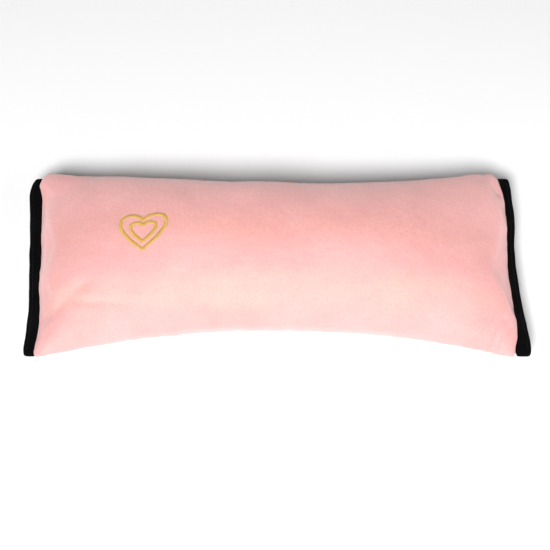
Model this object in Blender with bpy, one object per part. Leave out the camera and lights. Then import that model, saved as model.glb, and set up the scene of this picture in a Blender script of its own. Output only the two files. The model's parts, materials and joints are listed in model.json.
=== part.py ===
"""A child's seat-belt pillow: a stuffed plush bolster on a black sleeve that wraps round the belt.

It lies on its back, as on a table. X runs along the pillow, +Y to the rear, +Z up. The origin is
under its middle, on the surface it lies on. All sizes are in metres.

The sleeve is two flaps that hang from the long seams, cross under the body and close with hook and
loop tape. The belt runs along X, between the body and the flaps.
"""

import math

import bmesh
import bpy
from mathutils import Vector

# Overall size
HALF_LENGTH = 0.150
HALF_DEPTH = 0.060
HEIGHT = 0.080
GAP = 0.0003  # between neighbours that touch
FILLING_GAP = 0.0007  # wider, because the filling's facets follow those around it only roughly

# Cloth thickness
PLUSH = 0.0018
BACKING = 0.0014
BINDING_EXTRA = 0.0012  # how much thicker a bound edge is than the cloth in it

# Stuffed body
BODY_HALF_LENGTH = 0.142
SEAM_Z = 0.035
RIM_OFFSET = 0.0006  # from the seam's middle up to the cover and down to the back panel
SEAM_HALF_DEPTH_MIDDLE = 0.0420
SEAM_HALF_DEPTH_END = 0.0586
WAIST_POWER = 2.05  # how the seam widens from the waist to the ends
BULGE = 0.0046  # how far the plush swells past its seam
BULGE_POWER = 0.6
EQUATOR_SHARE = 0.20  # height of the widest line, as a share of the crown's height over the seam
END_POWER = 2.2  # superellipse along X: 2 is an ellipse, and more is boxier
BELLY_POWER = 1.6  # superellipse across the underside
BELLY_Z = 0.014
BACK_INSET = 0.0026  # from the cover's edge to the back panel's, where the flaps are sewn in

# Ends of the back panel and the trims folded over them
FLANGE_START = 0.1422
FLANGE_END = 0.1482
FLANGE_HALF_DEPTH = 0.0585
TRIM_WIDTH = 0.0075
TRIM_WALL = 0.0013
TRIM_CHAMFER = 0.0008

# Sleeve
HINGE_Y = 0.026
HALF_OVERLAP = 0.0095  # how far each flap's free edge lies past the middle
HINGE_GAP = 0.00015  # from the hinge line to the cloth on each side of it
FOOT_RUN = 0.0008  # flat cloth beside the hinge line, and how gently it turns up from there
FOLD_RUN = 0.0022
CLOTH_HALF_LENGTH = 0.1467
BINDING_START = 0.1470
SEWN_HALF_LENGTH = 0.1415  # past here the flaps' top edges pass under the trims
SEWN_INSET = 0.001  # from the cover's edge to the middle of a flap's sewn edge
LOOSE_TOP_Z = 0.0300
LOOSE_HALF_DEPTH = 0.0575
RAMP_START = 0.0225  # between these distances from the middle, the front flap climbs
RAMP_END = 0.0125

# Hook and loop tape
TAPE_HALF_LENGTH = 0.130
TAPE_HALF_WIDTH = 0.008
HOOK_THICKNESS = 0.0012
LOOP_THICKNESS = 0.0014

# Thread
SEAM_THREAD_RADIUS = 0.0003
TAPE_THREAD_RADIUS = 0.00025
SATIN_RADIUS = 0.00065

# Embroidered heart
HEART_X = -0.076
HEART_HALF_WIDTH = 0.0135
HEART_INNER_SHARE = 0.55

# Mesh density
DOME_STEPS = 16
ROLL_STEPS = 3
BELLY_STEPS = 12
WALL_STEPS = 6
RAMP_STEPS = 5
HEART_STEPS = 40
SEAM_STEPS = 24
STATION_DEGREES = (0, 8, 16, 24, 32, 40, 48, 56, 63, 70, 76, 81, 85, 88)

REAR = 1
FRONT = -1


def material(name, colour, roughness):
    made = bpy.data.materials.new(name)
    made.use_nodes = True
    shader = made.node_tree.nodes["Principled BSDF"]
    shader.inputs["Base Color"].default_value = (*colour, 1.0)
    shader.inputs["Roughness"].default_value = roughness
    shader.inputs["Metallic"].default_value = 0.0
    return made


def add_mesh(name, bm, finish, hinge=None):
    """An object from a mesh in world coordinates, its faces turned out, moved into its hinge's frame."""
    bmesh.ops.recalc_face_normals(bm, faces=bm.faces)
    if hinge:
        bmesh.ops.translate(bm, verts=bm.verts, vec=-hinge.location)
    mesh = bpy.data.meshes.new(name)
    bm.to_mesh(mesh)
    bm.free()
    mesh.materials.append(finish)
    mesh.shade_smooth()
    mesh.set_sharp_from_angle(angle=math.radians(50))
    obj = bpy.data.objects.new(name, mesh)
    obj.parent = hinge
    bpy.context.scene.collection.objects.link(obj)
    return obj


def add_thread(name, points, radius, finish, hinge=None):
    """A closed loop of round thread through these world points."""
    shift = hinge.location if hinge else Vector()
    curve = bpy.data.curves.new(name, "CURVE")
    curve.dimensions = "3D"
    curve.bevel_depth = radius
    curve.bevel_resolution = 1
    spline = curve.splines.new("POLY")
    spline.points.add(len(points) - 1)
    for slot, point in zip(spline.points, points):
        slot.co = (*(point - shift), 1.0)
    spline.use_cyclic_u = True
    spline.use_smooth = True
    curve.materials.append(finish)
    obj = bpy.data.objects.new(name, curve)
    obj.parent = hinge
    bpy.context.scene.collection.objects.link(obj)
    return obj


def add_hinge(name, side):
    """An empty on a flap's fold line, which runs along X on the surface that the pillow lies on."""
    hinge = bpy.data.objects.new(name, None)
    hinge.location = (0.0, side * HINGE_Y, 0.0)
    hinge.empty_display_size = 0.02
    bpy.context.scene.collection.objects.link(hinge)
    return hinge


def loft(bm, rows, ring=False):
    """Faces between each row of points and the next. Returns the rows of vertices."""
    made = [[bm.verts.new(point) for point in row] for row in rows]
    for near, far in zip(made, made[1:]):
        count = len(near)
        for i in range(count if ring else count - 1):
            j = (i + 1) % count
            bm.faces.new((near[i], near[j], far[j], far[i]))
    return made


def loft_solid(rows):
    """A closed solid through rings of points, with a face over each end."""
    bm = bmesh.new()
    made = loft(bm, rows, ring=True)
    bm.faces.new(made[0])
    bm.faces.new(made[-1])
    return bm


def signed_power(value, power):
    return math.copysign(abs(value) ** power, value)


def end_height(along):
    """Share of the full height at this share of the half length."""
    return (1 - abs(along) ** END_POWER) ** (1 / END_POWER)


def stations():
    """(share of the half length, share of the full height) of each cross-section, left to right."""
    shares = [math.sin(math.radians(degrees)) for degrees in STATION_DEGREES]
    right = [(along, end_height(along)) for along in shares]
    left = [(-along, height) for along, height in reversed(right[1:])]
    return left + right


def seam_half_depth(x):
    share = min(abs(x) / BODY_HALF_LENGTH, 1.0)
    widening = SEAM_HALF_DEPTH_END - SEAM_HALF_DEPTH_MIDDLE
    return SEAM_HALF_DEPTH_MIDDLE + widening * share**WAIST_POWER


def dome_radii(x, height_share, inset):
    """(half depth, height of its widest line, height above that) of the cover's section."""
    rise = (HEIGHT - SEAM_Z - RIM_OFFSET - inset) * height_share
    half_depth = seam_half_depth(x) + BULGE * height_share**BULGE_POWER - inset
    equator = SEAM_Z + RIM_OFFSET + EQUATOR_SHARE * rise
    return half_depth, equator, (1 - EQUATOR_SHARE) * rise


def dome_section(x_share, height_share, inset):
    """Points over the crown from the rear seam to the front seam, inset from the cover's outside."""
    x = x_share * (BODY_HALF_LENGTH - inset)
    half_depth, equator, above = dome_radii(x, height_share, inset)
    seam = seam_half_depth(x) - inset
    below = equator - SEAM_Z - RIM_OFFSET
    roll = []
    for i in range(ROLL_STEPS):
        angle = math.pi / 2 * (1 - i / ROLL_STEPS)
        y = seam + (half_depth - seam) * math.cos(angle)
        roll.append(Vector((x, y, equator - below * math.sin(angle))))
    dome = []
    for i in range(DOME_STEPS + 1):
        angle = math.pi * i / DOME_STEPS
        dome.append(Vector((x, half_depth * math.cos(angle), equator + above * math.sin(angle))))
    mirrored = [Vector((p.x, -p.y, p.z)) for p in reversed(roll)]
    return roll + dome + mirrored


def belly_section(x, half_depth, sag):
    """Points under the body from the rear seam to the front seam."""
    points = []
    for i in range(BELLY_STEPS + 1):
        angle = math.pi * i / BELLY_STEPS
        y = half_depth * signed_power(math.cos(angle), 2 / BELLY_POWER)
        z = SEAM_Z - RIM_OFFSET - sag * max(math.sin(angle), 0.0) ** (2 / BELLY_POWER)
        points.append(Vector((x, y, z)))
    return points


def belly_sag():
    """How far the back panel hangs under its rim in the middle."""
    return SEAM_Z - RIM_OFFSET - BELLY_Z


def shell_between(outer_rows, inner_rows):
    """A thin open shell: two surfaces joined by a flat rim around their open side."""
    bm = bmesh.new()
    outer = loft(bm, outer_rows)
    inner = loft(bm, inner_rows)
    for outside, inside in ((outer[0], inner[0]), (outer[-1], inner[-1])):
        bm.faces.new(outside)
        bm.faces.new(inside)
        bm.faces.new((outside[0], outside[-1], inside[-1], inside[0]))
    for edge in (0, -1):
        for i in range(len(outer) - 1):
            bm.faces.new((outer[i][edge], outer[i + 1][edge], inner[i + 1][edge], inner[i][edge]))
    return bm


def make_cover(finish):
    outer = [dome_section(along, height, 0.0) for along, height in stations()]
    inner = [dome_section(along, height, PLUSH) for along, height in stations()]
    add_mesh("front_cover", shell_between(outer, inner), finish)


def back_rows(thickness):
    """Sections of the back panel's underside, or of its upper side where thickness is 0."""
    inset = BACKING - thickness
    sag = belly_sag() - BACKING
    rows = []
    for along, height in stations():
        x = along * (BODY_HALF_LENGTH - inset)
        half_depth = seam_half_depth(x) - BACK_INSET - inset
        rows.append(belly_section(x, half_depth, thickness + sag * height))
    half_depth = FLANGE_HALF_DEPTH - inset
    flange = [belly_section(x, half_depth, thickness) for x in (FLANGE_START, FLANGE_END)]
    mirrored = [[Vector((-p.x, p.y, p.z)) for p in row] for row in reversed(flange)]
    return mirrored + rows + flange


def make_back_panel(finish):
    """The cloth under the body. Past the body's ends it runs on, flat, into the trims."""
    add_mesh("back_panel", shell_between(back_rows(BACKING), back_rows(0.0)), finish)


def make_filling(finish):
    """Polyester fibre, just inside the cover and the back panel."""
    rows = []
    inset = PLUSH + FILLING_GAP
    back_inset = BACKING + FILLING_GAP
    sag = belly_sag() - back_inset
    for along, height in stations():
        top = dome_section(along, height, inset)
        x = top[0].x
        half_depth = seam_half_depth(x) - BACK_INSET - back_inset
        rows.append(top + belly_section(x, half_depth, sag * height)[::-1])
    add_mesh("fibre_filling", loft_solid(rows), finish)


def make_seam_thread(finish):
    """The stitching that closes the body, between the cover's edge and the back panel's."""
    inset = RIM_OFFSET + GAP
    half_length = BODY_HALF_LENGTH - inset
    rear = []
    for i in range(SEAM_STEPS + 1):
        x = half_length * (2 * i / SEAM_STEPS - 1)
        rear.append(Vector((x, seam_half_depth(x) - inset, SEAM_Z)))
    front = [Vector((p.x, -p.y, p.z)) for p in reversed(rear)]
    add_thread("perimeter_seam_thread", rear + front, SEAM_THREAD_RADIUS, finish)


def make_end_trim(name, side, finish):
    """A strip folded over one end of the back panel: a U that opens towards the body."""
    nose = HALF_LENGTH
    mouth = HALF_LENGTH - TRIM_WIDTH
    slot_end = FLANGE_END + GAP
    slot_top = SEAM_Z - RIM_OFFSET + GAP
    slot_bottom = SEAM_Z - RIM_OFFSET - BACKING - GAP
    top = slot_top + TRIM_WALL
    bottom = slot_bottom - TRIM_WALL
    profile = (
        (mouth, top),
        (nose - TRIM_CHAMFER, top),
        (nose, top - TRIM_CHAMFER),
        (nose, bottom + TRIM_CHAMFER),
        (nose - TRIM_CHAMFER, bottom),
        (mouth, bottom),
        (mouth, slot_bottom),
        (slot_end, slot_bottom),
        (slot_end, slot_top),
        (mouth, slot_top),
    )
    rows = [[Vector((side * x, y, z)) for x, z in profile] for y in (-HALF_DEPTH, HALF_DEPTH)]
    add_mesh(name, loft_solid(rows), finish)


def heart_points(half_width):
    """A plain heart around HEART_X, its point towards the front, lying on the cover."""
    points = []
    for i in range(HEART_STEPS):
        angle = 2 * math.pi * i / HEART_STEPS
        across = math.sin(angle) ** 3
        up = (13 * math.cos(angle) - 5 * math.cos(2 * angle) - 2 * math.cos(3 * angle)) / 16
        x = HEART_X + half_width * across
        y = half_width * (up + 0.16)
        half_depth, equator, above = dome_radii(x, end_height(x / BODY_HALF_LENGTH), 0.0)
        z = equator + above * math.sqrt(1 - (y / half_depth) ** 2)
        points.append(Vector((x, y, z + SATIN_RADIUS + GAP)))
    return points


def bezier(points, share):
    a, b, c, d = points
    rest = 1 - share
    return rest**3 * a + 3 * rest**2 * share * b + 3 * rest * share**2 * c + share**3 * d


def wall_path(x):
    """(y, z) down the middle of the rear flap's sewn strip at this x, from the seam to the hinge."""
    if abs(x) > SEWN_HALF_LENGTH:
        top = Vector((LOOSE_HALF_DEPTH, LOOSE_TOP_Z))
    else:
        top = Vector((seam_half_depth(x) - SEWN_INSET, SEAM_Z - RIM_OFFSET - GAP))
    edge = Vector((HINGE_Y + HINGE_GAP, BACKING / 2))
    foot = edge + Vector((FOOT_RUN, 0.0))
    shoulder = top.lerp(foot, 0.45)
    heel = foot + Vector((FOLD_RUN, 0.0))
    curve = (top, shoulder, heel, foot)
    return [bezier(curve, i / WALL_STEPS) for i in range(WALL_STEPS + 1)] + [edge]


def rear_flap_path():
    """(y, z) along the middle of the rear flap, from its hinge to its free edge."""
    level = BACKING / 2
    return [Vector((HINGE_Y - HINGE_GAP, level)), Vector((-HALF_OVERLAP, level))]


def front_flap_level():
    """Height of the middle of the front flap's cloth where it lies on the rear flap's tapes."""
    return 1.5 * BACKING + HOOK_THICKNESS + LOOP_THICKNESS + 3 * GAP


def front_flap_path():
    """(y, z) along the middle of the front flap, with y counted from the middle to the front."""
    low = BACKING / 2
    high = front_flap_level()
    path = [Vector((HINGE_Y - HINGE_GAP, low))]
    for i in range(RAMP_STEPS + 1):
        share = i / RAMP_STEPS
        y = RAMP_START + (RAMP_END - RAMP_START) * share
        eased = share * share * (3 - 2 * share)
        path.append(Vector((y, low + (high - low) * eased)))
    path.append(Vector((-HALF_OVERLAP, high)))
    return path


def thick_ring(path, x, side, extra=0.0):
    """The outline of cloth along a (y, z) path. Any extra thickness goes on its inner side."""
    outer = []
    inner = []
    for i, point in enumerate(path):
        along = (path[min(i + 1, len(path) - 1)] - path[max(i - 1, 0)]).normalized()
        inward = Vector((along.y, -along.x))
        outer.append(point - inward * BACKING / 2)
        inner.append(point + inward * (BACKING / 2 + extra))
    return [Vector((x, side * p.x, p.y)) for p in outer + inner[::-1]]


def make_flap_root(name, side, finish):
    """The strip of a flap that is sewn into the long seam and reaches down to the hinge line."""
    sewn = [along * SEWN_HALF_LENGTH for along, _ in stations()]
    places = [-CLOTH_HALF_LENGTH, -FLANGE_START, *sewn, FLANGE_START, CLOTH_HALF_LENGTH]
    rows = [thick_ring(wall_path(x), x, side) for x in places]
    add_mesh(name, loft_solid(rows), finish)


def make_strip(name, path, start, end, side, finish, extra=0.0, hinge=None):
    """Cloth, or a bound edge, with the same section from one x to another."""
    rows = [thick_ring(path, x, side, extra) for x in (start, end)]
    add_mesh(name, loft_solid(rows), finish, hinge)


def make_bindings(piece, path, side, finish, hinge=None):
    """The bound edges at both ends of a piece of the sleeve."""
    for label, way in (("left", -1), ("right", 1)):
        start = way * BINDING_START
        end = way * HALF_LENGTH
        make_strip(f"{piece}_{label}_binding", path, start, end, side, finish, BINDING_EXTRA, hinge)


def make_tape(name, bottom, thickness, finish, hinge):
    bm = bmesh.new()
    bmesh.ops.create_cube(bm, size=1.0)
    size = Vector((2 * TAPE_HALF_LENGTH, 2 * TAPE_HALF_WIDTH, thickness))
    bmesh.ops.scale(bm, vec=size, verts=bm.verts)
    bmesh.ops.translate(bm, vec=(0.0, 0.0, bottom + thickness / 2), verts=bm.verts)
    add_mesh(name, bm, finish, hinge)


def tape_thread_points(z):
    """A rectangle just outside a tape's edge."""
    inset = GAP + TAPE_THREAD_RADIUS
    half_length = TAPE_HALF_LENGTH + inset
    half_width = TAPE_HALF_WIDTH + inset
    corners = ((-1, -1), (1, -1), (1, 1), (-1, 1))
    return [Vector((sx * half_length, sy * half_width, z)) for sx, sy in corners]


def make_pillow(plush, black, fibre, black_thread, gold_thread):
    make_cover(plush)
    make_back_panel(black)
    make_filling(fibre)
    make_seam_thread(black_thread)
    make_end_trim("left_end_trim", -1, black)
    make_end_trim("right_end_trim", 1, black)
    for name, share in (("embroidered_heart", 1.0), ("embroidered_inner_heart", HEART_INNER_SHARE)):
        add_thread(name, heart_points(HEART_HALF_WIDTH * share), SATIN_RADIUS, gold_thread)
    for name, side in (("rear_flap_root", REAR), ("front_flap_root", FRONT)):
        make_flap_root(name, side, black)
        make_bindings(name, wall_path(HALF_LENGTH), side, black)


def make_rear_flap(black, hook, black_thread):
    hinge = add_hinge("rear_flap_hinge", REAR)
    path = rear_flap_path()
    make_strip("rear_flap", path, -CLOTH_HALF_LENGTH, CLOTH_HALF_LENGTH, REAR, black, hinge=hinge)
    make_bindings("rear_flap", path, REAR, black, hinge)
    make_tape("hook_tape", BACKING + GAP, HOOK_THICKNESS, hook, hinge)
    stitches = tape_thread_points(BACKING + GAP + TAPE_THREAD_RADIUS)
    add_thread("hook_tape_thread", stitches, TAPE_THREAD_RADIUS, black_thread, hinge)


def make_front_flap(black, loop, black_thread):
    hinge = add_hinge("front_flap_hinge", FRONT)
    path = front_flap_path()
    make_strip("front_flap", path, -CLOTH_HALF_LENGTH, CLOTH_HALF_LENGTH, FRONT, black, hinge=hinge)
    make_bindings("front_flap", path, FRONT, black, hinge)
    underside = front_flap_level() - BACKING / 2
    make_tape("loop_tape", underside - GAP - LOOP_THICKNESS, LOOP_THICKNESS, loop, hinge)
    stitches = tape_thread_points(underside - GAP - TAPE_THREAD_RADIUS)
    add_thread("loop_tape_thread", stitches, TAPE_THREAD_RADIUS, black_thread, hinge)


def main():
    for obj in list(bpy.data.objects):
        bpy.data.objects.remove(obj)
    plush = material("pink_plush", (0.90, 0.48, 0.43), 0.9)
    black = material("black_cloth", (0.010, 0.010, 0.012), 0.85)
    fibre = material("white_fibre", (0.85, 0.85, 0.85), 0.95)
    hook = material("hook_tape", (0.015, 0.015, 0.018), 0.6)
    loop = material("loop_tape", (0.012, 0.012, 0.014), 0.95)
    black_thread = material("black_thread", (0.010, 0.010, 0.010), 0.5)
    gold_thread = material("gold_thread", (0.72, 0.45, 0.07), 0.35)
    make_pillow(plush, black, fibre, black_thread, gold_thread)
    make_rear_flap(black, hook, black_thread)
    make_front_flap(black, loop, black_thread)


main()
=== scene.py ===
"""Looks of the child's seat-belt pillow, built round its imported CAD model.

Metres. X runs along the pillow, +Y to the rear, +Z up, and the origin is under its middle. The body
and every cloth piece repeat the CAD model's formulas at a finer step, then get their folds, puckers,
rolled edges and stitches. A soft piece is drawn square to X first and sheared a little at the end,
because the real cover was sewn slightly askew.
"""

import json
import math
import random

import bmesh
import bpy
import numpy as np
from mathutils import Matrix, Vector, noise
from mathutils.bvhtree import BVHTree


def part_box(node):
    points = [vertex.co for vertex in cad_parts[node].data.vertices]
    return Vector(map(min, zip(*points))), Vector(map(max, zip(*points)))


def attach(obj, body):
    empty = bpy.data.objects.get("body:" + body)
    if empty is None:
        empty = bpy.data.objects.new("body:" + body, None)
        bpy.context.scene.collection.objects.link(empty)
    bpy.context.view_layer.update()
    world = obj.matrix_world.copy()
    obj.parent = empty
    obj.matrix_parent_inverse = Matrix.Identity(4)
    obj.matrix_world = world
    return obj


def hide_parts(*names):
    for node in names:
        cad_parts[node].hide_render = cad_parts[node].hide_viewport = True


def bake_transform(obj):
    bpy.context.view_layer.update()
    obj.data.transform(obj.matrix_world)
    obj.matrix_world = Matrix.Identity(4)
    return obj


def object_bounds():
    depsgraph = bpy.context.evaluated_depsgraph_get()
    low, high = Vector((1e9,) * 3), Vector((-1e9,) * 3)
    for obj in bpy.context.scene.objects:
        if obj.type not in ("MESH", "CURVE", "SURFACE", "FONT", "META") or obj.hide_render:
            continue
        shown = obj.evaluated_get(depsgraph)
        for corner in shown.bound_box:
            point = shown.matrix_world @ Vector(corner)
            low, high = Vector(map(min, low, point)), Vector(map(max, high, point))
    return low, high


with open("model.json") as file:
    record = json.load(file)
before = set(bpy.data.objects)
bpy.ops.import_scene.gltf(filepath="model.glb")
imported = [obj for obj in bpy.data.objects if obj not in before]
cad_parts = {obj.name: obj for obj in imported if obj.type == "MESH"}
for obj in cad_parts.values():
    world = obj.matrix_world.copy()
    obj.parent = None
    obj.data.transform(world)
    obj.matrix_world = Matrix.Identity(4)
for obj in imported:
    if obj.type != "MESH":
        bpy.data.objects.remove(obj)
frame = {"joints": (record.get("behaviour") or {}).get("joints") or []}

cad_low, cad_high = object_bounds()

# Sizes from the frame
COVER_LOW, COVER_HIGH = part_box("front_cover")
BACK_LOW, BACK_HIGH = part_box("back_panel")
TRIM_LOW, TRIM_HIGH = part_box("right_end_trim")
FLAP_LOW, FLAP_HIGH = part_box("rear_flap")
ROOT_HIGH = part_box("rear_flap_root")[1]
HOOK_LOW, HOOK_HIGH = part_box("hook_tape")
LOOP_LOW, LOOP_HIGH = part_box("loop_tape")
INNER_FLAP_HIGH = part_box("front_flap")[1]
BINDING_LOW, BINDING_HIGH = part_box("rear_flap_right_binding")
HALF_LENGTH = cad_high.x
HALF_DEPTH = TRIM_HIGH.y
HINGE_Y = frame["joints"][0]["pos_m"][1]
BACKING = FLAP_HIGH.z - FLAP_LOW.z
CROWN_Z = COVER_HIGH.z
COVER_RIM_Z = COVER_LOW.z
BACK_RIM_Z = BACK_HIGH.z
SEAM_Z = (COVER_RIM_Z + BACK_RIM_Z) / 2

# Shape of the stuffed body, as in the CAD model
END_INSET = 0.0006  # the pile swells past the ends by this much less than elsewhere
BODY_HALF_LENGTH = COVER_HIGH.x - END_INSET
SEAM_HALF_DEPTH_MIDDLE = 0.0420
SEAM_HALF_DEPTH_END = 0.0586
WAIST_POWER = 2.05
BULGE = 0.0046
BULGE_POWER = 0.6
EQUATOR_SHARE = 0.20
END_POWER = 2.2
BELLY_POWER = 1.6
BACK_INSET = 0.0026
BELLY_CLEARANCE = 0.0006  # room between the back cloth and the stuffing, below
BELLY_SIDE_CLEARANCE = 0.0008  # and at its sides
BELLY_BELOW_SEAM = 0.0002
REAR_CORNERS = {-1: 0.0065, 1: 0.0085}  # how far the left and the right one are rounded
FRONT_CORNER = 0.0030
SKEW = -0.034  # how far the rear leans to the left, for each metre of depth

# Cloth simulation
STATION_STEPS = 150
ROLL_STEPS = 4
DOME_STEPS = 52
PILE = 0.0016  # how far the plush stands proud of the CAD cover
SIM_FRAMES = 20
SIM_PRESSURE = 4.0
SIM_SPARE_CLOTH = -0.012  # negative shrinking: this share of spare cloth puckers along the seams
SIM_CAP = 0.0014

# Sleeve
SEWN_INSET = 0.001
SEWN_HALF_LENGTH = 0.1410
LOOSE_START = 0.1428
LOOSE_TOP_Z = 0.0324
LOOSE_HALF_DEPTH = 0.0584
HINGE_GAP = 0.00015
FOOT_RUN = 0.0008
FOLD_RUN = 0.0022
RAMP_START = 0.0225
RAMP_END = 0.0125
WALL_STEPS = 22
FLAP_STEPS = 26
RAMP_STEPS = 12
EDGE_STEPS = 4
# How far the walls' slack and creases stand out, and how far apart they are
WALL_SLACK = (0.0022, 0.050)
WALL_CREASES = (0.0016, 0.015)
LIE_HEIGHT = 0.0006  # the sleeve doesn't lie quite flat
CORNER_DRAWN_IN = 0.0020  # how far the left hem pulls the rear side's top corner along
CORNER_START = 0.1425
CORNER_FULL = 0.1470

REAR = 1
FRONT = -1


# ---------------------------------------------------------------- meshes


def smooth_step(value):
    value = min(max(value, 0.0), 1.0)
    return value * value * (3 - 2 * value)


def unevenness(x, y, z, wavelength, seed=0.0):
    """Smooth noise from -1 to 1 whose lumps are about this far apart."""
    return noise.noise(Vector((x, y, z)) / wavelength + Vector((seed, 2.7 * seed, -seed)))


def skewed(obj):
    obj.data.transform(Matrix(((1, SKEW, 0, 0), (0, 1, 0, 0), (0, 0, 1, 0), (0, 0, 0, 1))))
    return obj


def add_piece(name, points, faces, finish, place=None, bend_at=60):
    """A mesh object with its faces turned out. place is each point's (along, across) on flat cloth."""
    mesh = bpy.data.meshes.new(name)
    mesh.from_pydata([tuple(p) for p in points], [], [tuple(f) for f in faces])
    bm = bmesh.new()
    bm.from_mesh(mesh)
    bmesh.ops.recalc_face_normals(bm, faces=bm.faces)
    bm.to_mesh(mesh)
    bm.free()
    if place is not None:
        flat = mesh.attributes.new("cloth_place", "FLOAT_VECTOR", "POINT")
        flat.data.foreach_set("vector", np.array([(a, b, 0.0) for a, b in place], np.float32).ravel())
    mesh.materials.append(finish)
    mesh.shade_smooth()
    mesh.set_sharp_from_angle(angle=math.radians(bend_at))
    obj = bpy.data.objects.new(name, mesh)
    bpy.context.scene.collection.objects.link(obj)
    return obj


def loft(rings):
    """(points, faces, place) of a closed solid through rings whose second half goes back along the first."""
    count = len(rings[0])
    half = count // 2
    points = [p for ring in rings for p in ring]
    faces = []
    for i in range(len(rings) - 1):
        near = i * count
        far = near + count
        for j in range(count):
            k = (j + 1) % count
            faces.append((near + j, near + k, far + k, far + j))
    for first in (0, (len(rings) - 1) * count):
        for j in range(half - 1):
            faces.append((first + j, first + j + 1, first + count - 2 - j, first + count - 1 - j))
    place = []
    for ring in rings:
        run = [0.0]
        for a, b in zip(ring[: half - 1], ring[1:half]):
            run.append(run[-1] + (b - a).length)
        place += [(ring[0].x, r) for r in run + run[::-1]]
    return points, faces, place


def tube(points, radii, sides, start=0):
    """(points, faces) of a tube with pointed ends along these points."""
    made = []
    faces = []
    for i, (point, radius) in enumerate(zip(points, radii)):
        along = (points[min(i + 1, len(points) - 1)] - points[max(i - 1, 0)]).normalized()
        aside = along.cross(Vector((0.31, 0.17, 0.93))).normalized()
        up = aside.cross(along)
        for j in range(sides):
            angle = 2 * math.pi * j / sides
            made.append(point + radius * (math.cos(angle) * aside + math.sin(angle) * up))
    for i in range(len(points) - 1):
        for j in range(sides):
            k = (j + 1) % sides
            a = start + i * sides
            faces.append((a + j, a + k, a + sides + k, a + sides + j))
    last = start + (len(points) - 1) * sides
    faces.append(tuple(range(start, start + sides)))
    faces.append(tuple(range(last, last + sides)))
    return made, faces


def walk(points, step, closed=False):
    """(place, direction) at every step along a line of points."""
    line = list(points) + ([points[0]] if closed else [])
    found = []
    travelled = 0.0
    wanted = step / 2
    for a, b in zip(line, line[1:]):
        length = (b - a).length
        while length > 0 and wanted <= travelled + length:
            found.append((a.lerp(b, (wanted - travelled) / length), (b - a) / length))
            wanted += step
        travelled += length
    return found


def stitches(name, line, outward, finish, pitch=0.0030, radius=0.00027, closed=False):
    """Lockstitches along a line on cloth. Each one rises out of the cloth and dips back into it."""
    points = []
    faces = []
    for spot, along in walk(line, pitch, closed):
        up = outward(spot)
        course = []
        sizes = []
        for share in (-1.0, -0.8, -0.4, 0.0, 0.4, 0.8, 1.0):
            lift = radius * (1.1 * (1 - share**4) - 0.7)
            course.append(spot + along * (share * 0.42 * pitch) + up * lift)
            sizes.append(radius * (1.0 if abs(share) < 0.9 else 0.55))
        more, more_faces = tube(course, sizes, 6, len(points))
        points += more
        faces += more_faces
    return add_piece(name, points, faces, finish)


# ---------------------------------------------------------------- materials


def new_material(name, roughness, sheen, sheen_roughness, tint, specular=0.25):
    made = bpy.data.materials.new(name)
    made.use_nodes = True
    tree = made.node_tree
    shader = tree.nodes["Principled BSDF"]
    shader.inputs["Roughness"].default_value = roughness
    shader.inputs["Metallic"].default_value = 0.0
    shader.inputs["Specular IOR Level"].default_value = specular
    shader.inputs["Sheen Weight"].default_value = sheen
    shader.inputs["Sheen Roughness"].default_value = sheen_roughness
    shader.inputs["Sheen Tint"].default_value = (*tint, 1.0)
    return made, tree, shader


def add_node(tree, kind, settings=None, **inputs):
    node = tree.nodes.new(kind)
    for name, value in (settings or {}).items():
        setattr(node, name, value)
    for name, value in inputs.items():
        socket = node.inputs[name.replace("_", " ")]
        if isinstance(value, bpy.types.NodeSocket):
            tree.links.new(value, socket)
        else:
            socket.default_value = value
    return node


def object_place(tree):
    return tree.nodes.new("ShaderNodeTexCoord").outputs["Object"]


def noise_of(tree, where, scale, detail=2.0, roughness=0.5, distortion=0.0):
    node = add_node(
        tree, "ShaderNodeTexNoise", Vector=where, Scale=scale, Detail=detail,
        Roughness=roughness, Distortion=distortion,
    )
    return node.outputs["Fac"]


def mix_colours(tree, share, first, second):
    node = tree.nodes.new("ShaderNodeMix")
    node.data_type = "RGBA"
    tree.links.new(share, node.inputs[0])
    for socket, value in ((node.inputs[6], first), (node.inputs[7], second)):
        if isinstance(value, bpy.types.NodeSocket):
            tree.links.new(value, socket)
        else:
            socket.default_value = (*value, 1.0)
    return node.outputs[2]


def maths(tree, operation, first, second):
    node = tree.nodes.new("ShaderNodeMath")
    node.operation = operation
    for socket, value in ((node.inputs[0], first), (node.inputs[1], second)):
        if isinstance(value, bpy.types.NodeSocket):
            tree.links.new(value, socket)
        else:
            socket.default_value = value
    return node.outputs[0]


def spread(tree, value, low, high):
    """The stretch from low to high opened out to 0 to 1."""
    node = add_node(tree, "ShaderNodeMapRange", {"interpolation_type": "SMOOTHSTEP"})
    node.inputs["From Min"].default_value = low
    node.inputs["From Max"].default_value = high
    tree.links.new(value, node.inputs["Value"])
    return node.outputs["Result"]


def bump_to(tree, shader, height, distance, strength=1.0, below=None):
    node = add_node(tree, "ShaderNodeBump", Height=height, Distance=distance, Strength=strength)
    if below is not None:
        tree.links.new(below, node.inputs["Normal"])
    tree.links.new(node.outputs["Normal"], shader.inputs["Normal"])
    return node.outputs["Normal"]


# Painted light bands across the crown, along Y: a peach tint on its top, a pale cream painted highlight
# towards the front, and a lighter band painted on the rear slope where it gets less light: middle (in Y),
# reach, share, colour
PAINTED_LIGHT_BANDS = (
    (0.006, 0.020, 0.50, (0.830, 0.385, 0.335)),
    (-0.034, 0.014, 0.50, (0.835, 0.490, 0.410)),
    (0.030, 0.026, 1.00, (0.930, 0.475, 0.455)),
)
# Painted light: the pile is painted pinker and lighter towards the ends, where their slopes get less light,
# from this far from the middle (in X) to this far
END_PAINTED_LIGHT_START = 0.120
END_PAINTED_LIGHT_FULL = 0.146
END_PAINTED_LIGHT_SHARE = 0.8


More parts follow.
